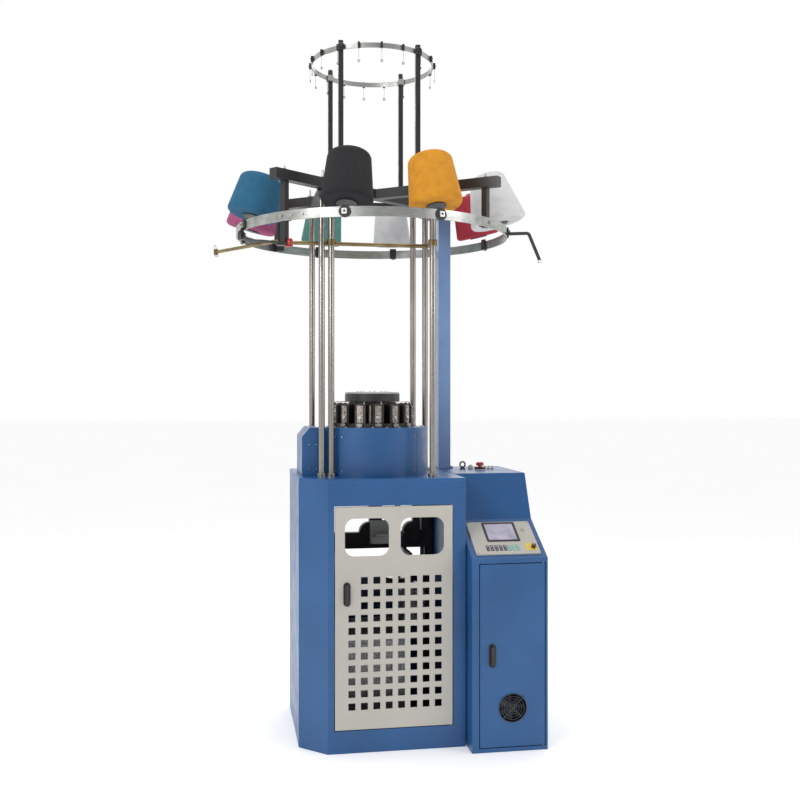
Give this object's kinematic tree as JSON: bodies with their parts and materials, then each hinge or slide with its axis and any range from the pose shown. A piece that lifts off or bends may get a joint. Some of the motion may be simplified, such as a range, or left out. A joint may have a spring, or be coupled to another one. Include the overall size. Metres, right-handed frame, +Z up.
{
  "type": "circular knitting machine",
  "caption": "Floor-standing circular knitting machine: blue cabinet and control box, needle cylinder in a round drum, steel pillars and an overhead yarn creel with cones.",
  "frame": {"origin": "on the floor, at the underside of the base plate, under the axis of the needle cylinder", "axes": "+Z up along the cylinder axis; -Y is the front with the doors and the console; +X is to the right, towards the control box"},
  "size_m": [1.3414, 1.2212, 2.87],
  "materials": {
    "blue_paint": "semi-gloss textured paint",
    "cream_paint": "semi-gloss paint",
    "black_paint": "satin paint",
    "polished_steel": "ground",
    "aluminium": "satin",
    "brass": "dull",
    "black_plastic": "matte",
    "screen_glass": "glossy",
    "red_plastic": "glossy",
    "rubber": "matte",
    "dark_key_plastic": "matte",
    "green_key_plastic": "matte",
    "black_yarn": "wound yarn",
    "blue_yarn": "wound yarn",
    "pink_yarn": "wound yarn",
    "teal_yarn": "wound yarn",
    "white_yarn": "wound yarn",
    "red_yarn": "wound yarn",
    "orange_yarn": "wound yarn"
  },
  "bodies": {
    "machine": {"cabinet_frame": "black_paint", "cabinet_shell": "blue_paint", "cam_bed": "blue_paint", "cam_boxes": "polished_steel", "cone_pegs": "polished_steel", "console_panel": "cream_paint", "control_box_shell": "blue_paint", "creel_beams": "black_paint", "creel_column": "blue_paint", "creel_pillars": "polished_steel", "creel_ring": "aluminium", "display_screen": "screen_glass", "door_hinges": "polished_steel", "drive_belt": "rubber", "drive_motor": "aluminium", "drum_cover": "blue_paint", "electrical_panel": "aluminium", "emergency_stop_base": "black_plastic", "fabric_bin": "aluminium", "guide_rods": "brass", "rear_panel": "blue_paint", "side_cover": "blue_paint", "take_down_frame": "black_paint", "top_plate": "black_paint", "top_ring": "aluminium", "top_ring_posts": "black_paint", "yarn_eyelets": "polished_steel"},
    "front_door": {"front_door": "cream_paint"},
    "front_lock_lever": {"front_lock_lever": "black_plastic"},
    "control_door": {"control_door": "blue_paint", "fan_frame": "black_plastic", "fan_guard": "polished_steel"},
    "control_lock_lever": {"control_lock_lever": "black_plastic"},
    "fan_impeller": {"fan_impeller": "black_plastic"},
    "selector_knob": {"selector_knob": "black_plastic"},
    "emergency_stop_button": {"emergency_stop_button": "red_plastic"},
    "cylinder": {"needle_cylinder": "polished_steel", "needles": "polished_steel", "cylinder_gear": "polished_steel", "dial": "black_plastic"},
    "drive_shaft": {"drive_shaft": "polished_steel"},
    "motor_pulley": {"motor_pulley": "polished_steel"},
    "front_roller": {"front_roller": "rubber"},
    "rear_roller": {"rear_roller": "rubber"},
    "console_key_1": {"console_key_1": "dark_key_plastic"},
    "yarn_cone_1": {"yarn_cone_1": "black_yarn"},
    "console_key_2": {"console_key_2": "dark_key_plastic"},
    "yarn_cone_2": {"yarn_cone_2": "blue_yarn"},
    "console_key_3": {"console_key_3": "dark_key_plastic"},
    "yarn_cone_3": {"yarn_cone_3": "pink_yarn"},
    "console_key_4": {"console_key_4": "dark_key_plastic"},
    "yarn_cone_4": {"yarn_cone_4": "teal_yarn"},
    "console_key_5": {"console_key_5": "dark_key_plastic"},
    "yarn_cone_5": {"yarn_cone_5": "white_yarn"},
    "console_key_6": {"console_key_6": "green_key_plastic"},
    "yarn_cone_6": {"yarn_cone_6": "red_yarn"},
    "console_key_7": {"console_key_7": "green_key_plastic"},
    "yarn_cone_7": {"yarn_cone_7": "white_yarn"},
    "console_key_8": {"console_key_8": "green_key_plastic"},
    "yarn_cone_8": {"yarn_cone_8": "orange_yarn"}
  },
  "joints": [
    {"name": "front_door_hinge", "type": "hinge", "parent": "machine", "child": "front_door", "pos_m": [0.273, -0.327, 0.535], "axis": [0, 0, 1], "range_deg": [0, 105]},
    {"name": "front_lock_turn", "type": "hinge", "parent": "front_door", "child": "front_lock_lever", "pos_m": [-0.15, -0.344, 0.662], "axis": [0, -1, 0], "range_deg": [0, 90]},
    {"name": "control_door_hinge", "type": "hinge", "parent": "machine", "child": "control_door", "pos_m": [0.633, -0.414, 0.384], "axis": [0, 0, 1], "range_deg": [0, 110]},
    {"name": "control_lock_turn", "type": "hinge", "parent": "control_door", "child": "control_lock_lever", "pos_m": [0.421, -0.431, 0.416], "axis": [0, -1, 0], "range_deg": [0, 90]},
    {"name": "fan_spin", "type": "hinge", "parent": "control_door", "child": "fan_impeller", "pos_m": [0.505, -0.405, 0.174], "axis": [0, 1, 0], "continuous": true},
    {"name": "cylinder_spin", "type": "hinge", "parent": "machine", "child": "cylinder", "pos_m": [0, 0, 1.2], "axis": [0, 0, 1], "continuous": true},
    {"name": "drive_shaft_spin", "type": "hinge", "parent": "machine", "child": "drive_shaft", "pos_m": [0.128, 0.096, 0.85], "axis": [0, 0, 1], "continuous": true},
    {"name": "motor_spin", "type": "hinge", "parent": "machine", "child": "motor_pulley", "pos_m": [0.215, 0.225, 0.6], "axis": [0, 0, 1], "continuous": true},
    {"name": "front_roller_spin", "type": "hinge", "parent": "machine", "child": "front_roller", "pos_m": [0, -0.0303, 0.69], "axis": [1, 0, 0], "continuous": true},
    {"name": "rear_roller_spin", "type": "hinge", "parent": "machine", "child": "rear_roller", "pos_m": [0, 0.0303, 0.69], "axis": [1, 0, 0], "continuous": true},
    {"name": "emergency_stop_press", "type": "slide", "parent": "machine", "child": "emergency_stop_button", "axis": [0, 0, -1], "range_m": [0, 0.0055], "stiffness_N_per_m": 500, "springref_m": -0.004},
    {"name": "selector_turn", "type": "hinge", "parent": "machine", "child": "selector_knob", "pos_m": [0.606, -0.36805, 0.80002], "axis": [0, -0.5003, 0.8659], "range_deg": [-45, 45]},
    {"name": "console_key_1_press", "type": "slide", "parent": "machine", "child": "console_key_1", "axis": [0, 0.5003, -0.8659], "range_m": [0, 0.0015], "stiffness_N_per_m": 300, "springref_m": -0.002},
    {"name": "console_key_2_press", "type": "slide", "parent": "machine", "child": "console_key_2", "axis": [0, 0.5003, -0.8659], "range_m": [0, 0.0015], "stiffness_N_per_m": 300, "springref_m": -0.002},
    {"name": "console_key_3_press", "type": "slide", "parent": "machine", "child": "console_key_3", "axis": [0, 0.5003, -0.8659], "range_m": [0, 0.0015], "stiffness_N_per_m": 300, "springref_m": -0.002},
    {"name": "console_key_4_press", "type": "slide", "parent": "machine", "child": "console_key_4", "axis": [0, 0.5003, -0.8659], "range_m": [0, 0.0015], "stiffness_N_per_m": 300, "springref_m": -0.002},
    {"name": "console_key_5_press", "type": "slide", "parent": "machine", "child": "console_key_5", "axis": [0, 0.5003, -0.8659], "range_m": [0, 0.0015], "stiffness_N_per_m": 300, "springref_m": -0.002},
    {"name": "console_key_6_press", "type": "slide", "parent": "machine", "child": "console_key_6", "axis": [0, 0.5003, -0.8659], "range_m": [0, 0.0015], "stiffness_N_per_m": 300, "springref_m": -0.002},
    {"name": "console_key_7_press", "type": "slide", "parent": "machine", "child": "console_key_7", "axis": [0, 0.5003, -0.8659], "range_m": [0, 0.0015], "stiffness_N_per_m": 300, "springref_m": -0.002},
    {"name": "console_key_8_press", "type": "slide", "parent": "machine", "child": "console_key_8", "axis": [0, 0.5003, -0.8659], "range_m": [0, 0.0015], "stiffness_N_per_m": 300, "springref_m": -0.002},
    {"name": "yarn_cone_1_lift", "type": "slide", "parent": "machine", "child": "yarn_cone_1", "axis": [0.0821, 0.2454, 0.9659], "range_m": [0, 0.17]},
    {"name": "yarn_cone_2_lift", "type": "slide", "parent": "machine", "child": "yarn_cone_2", "axis": [0.2454, 0.0821, 0.9659], "range_m": [0, 0.17]},
    {"name": "yarn_cone_3_lift", "type": "slide", "parent": "machine", "child": "yarn_cone_3", "axis": [0.2454, -0.0821, 0.9659], "range_m": [0, 0.17]},
    {"name": "yarn_cone_4_lift", "type": "slide", "parent": "machine", "child": "yarn_cone_4", "axis": [0.0821, -0.2454, 0.9659], "range_m": [0, 0.17]},
    {"name": "yarn_cone_5_lift", "type": "slide", "parent": "machine", "child": "yarn_cone_5", "axis": [-0.0821, -0.2454, 0.9659], "range_m": [0, 0.17]},
    {"name": "yarn_cone_6_lift", "type": "slide", "parent": "machine", "child": "yarn_cone_6", "axis": [-0.2454, -0.0821, 0.9659], "range_m": [0, 0.17]},
    {"name": "yarn_cone_7_lift", "type": "slide", "parent": "machine", "child": "yarn_cone_7", "axis": [-0.2454, 0.0821, 0.9659], "range_m": [0, 0.17]},
    {"name": "yarn_cone_8_lift", "type": "slide", "parent": "machine", "child": "yarn_cone_8", "axis": [-0.0821, 0.2454, 0.9659], "range_m": [0, 0.17]}
  ],
  "couplings": [
    {"joint": "drive_shaft_spin", "follows": "cylinder_spin", "ratio": -3},
    {"joint": "motor_spin", "follows": "cylinder_spin", "ratio": -6},
    {"joint": "front_roller_spin", "follows": "cylinder_spin", "ratio": -0.05},
    {"joint": "rear_roller_spin", "follows": "cylinder_spin", "ratio": 0.05}
  ]
}
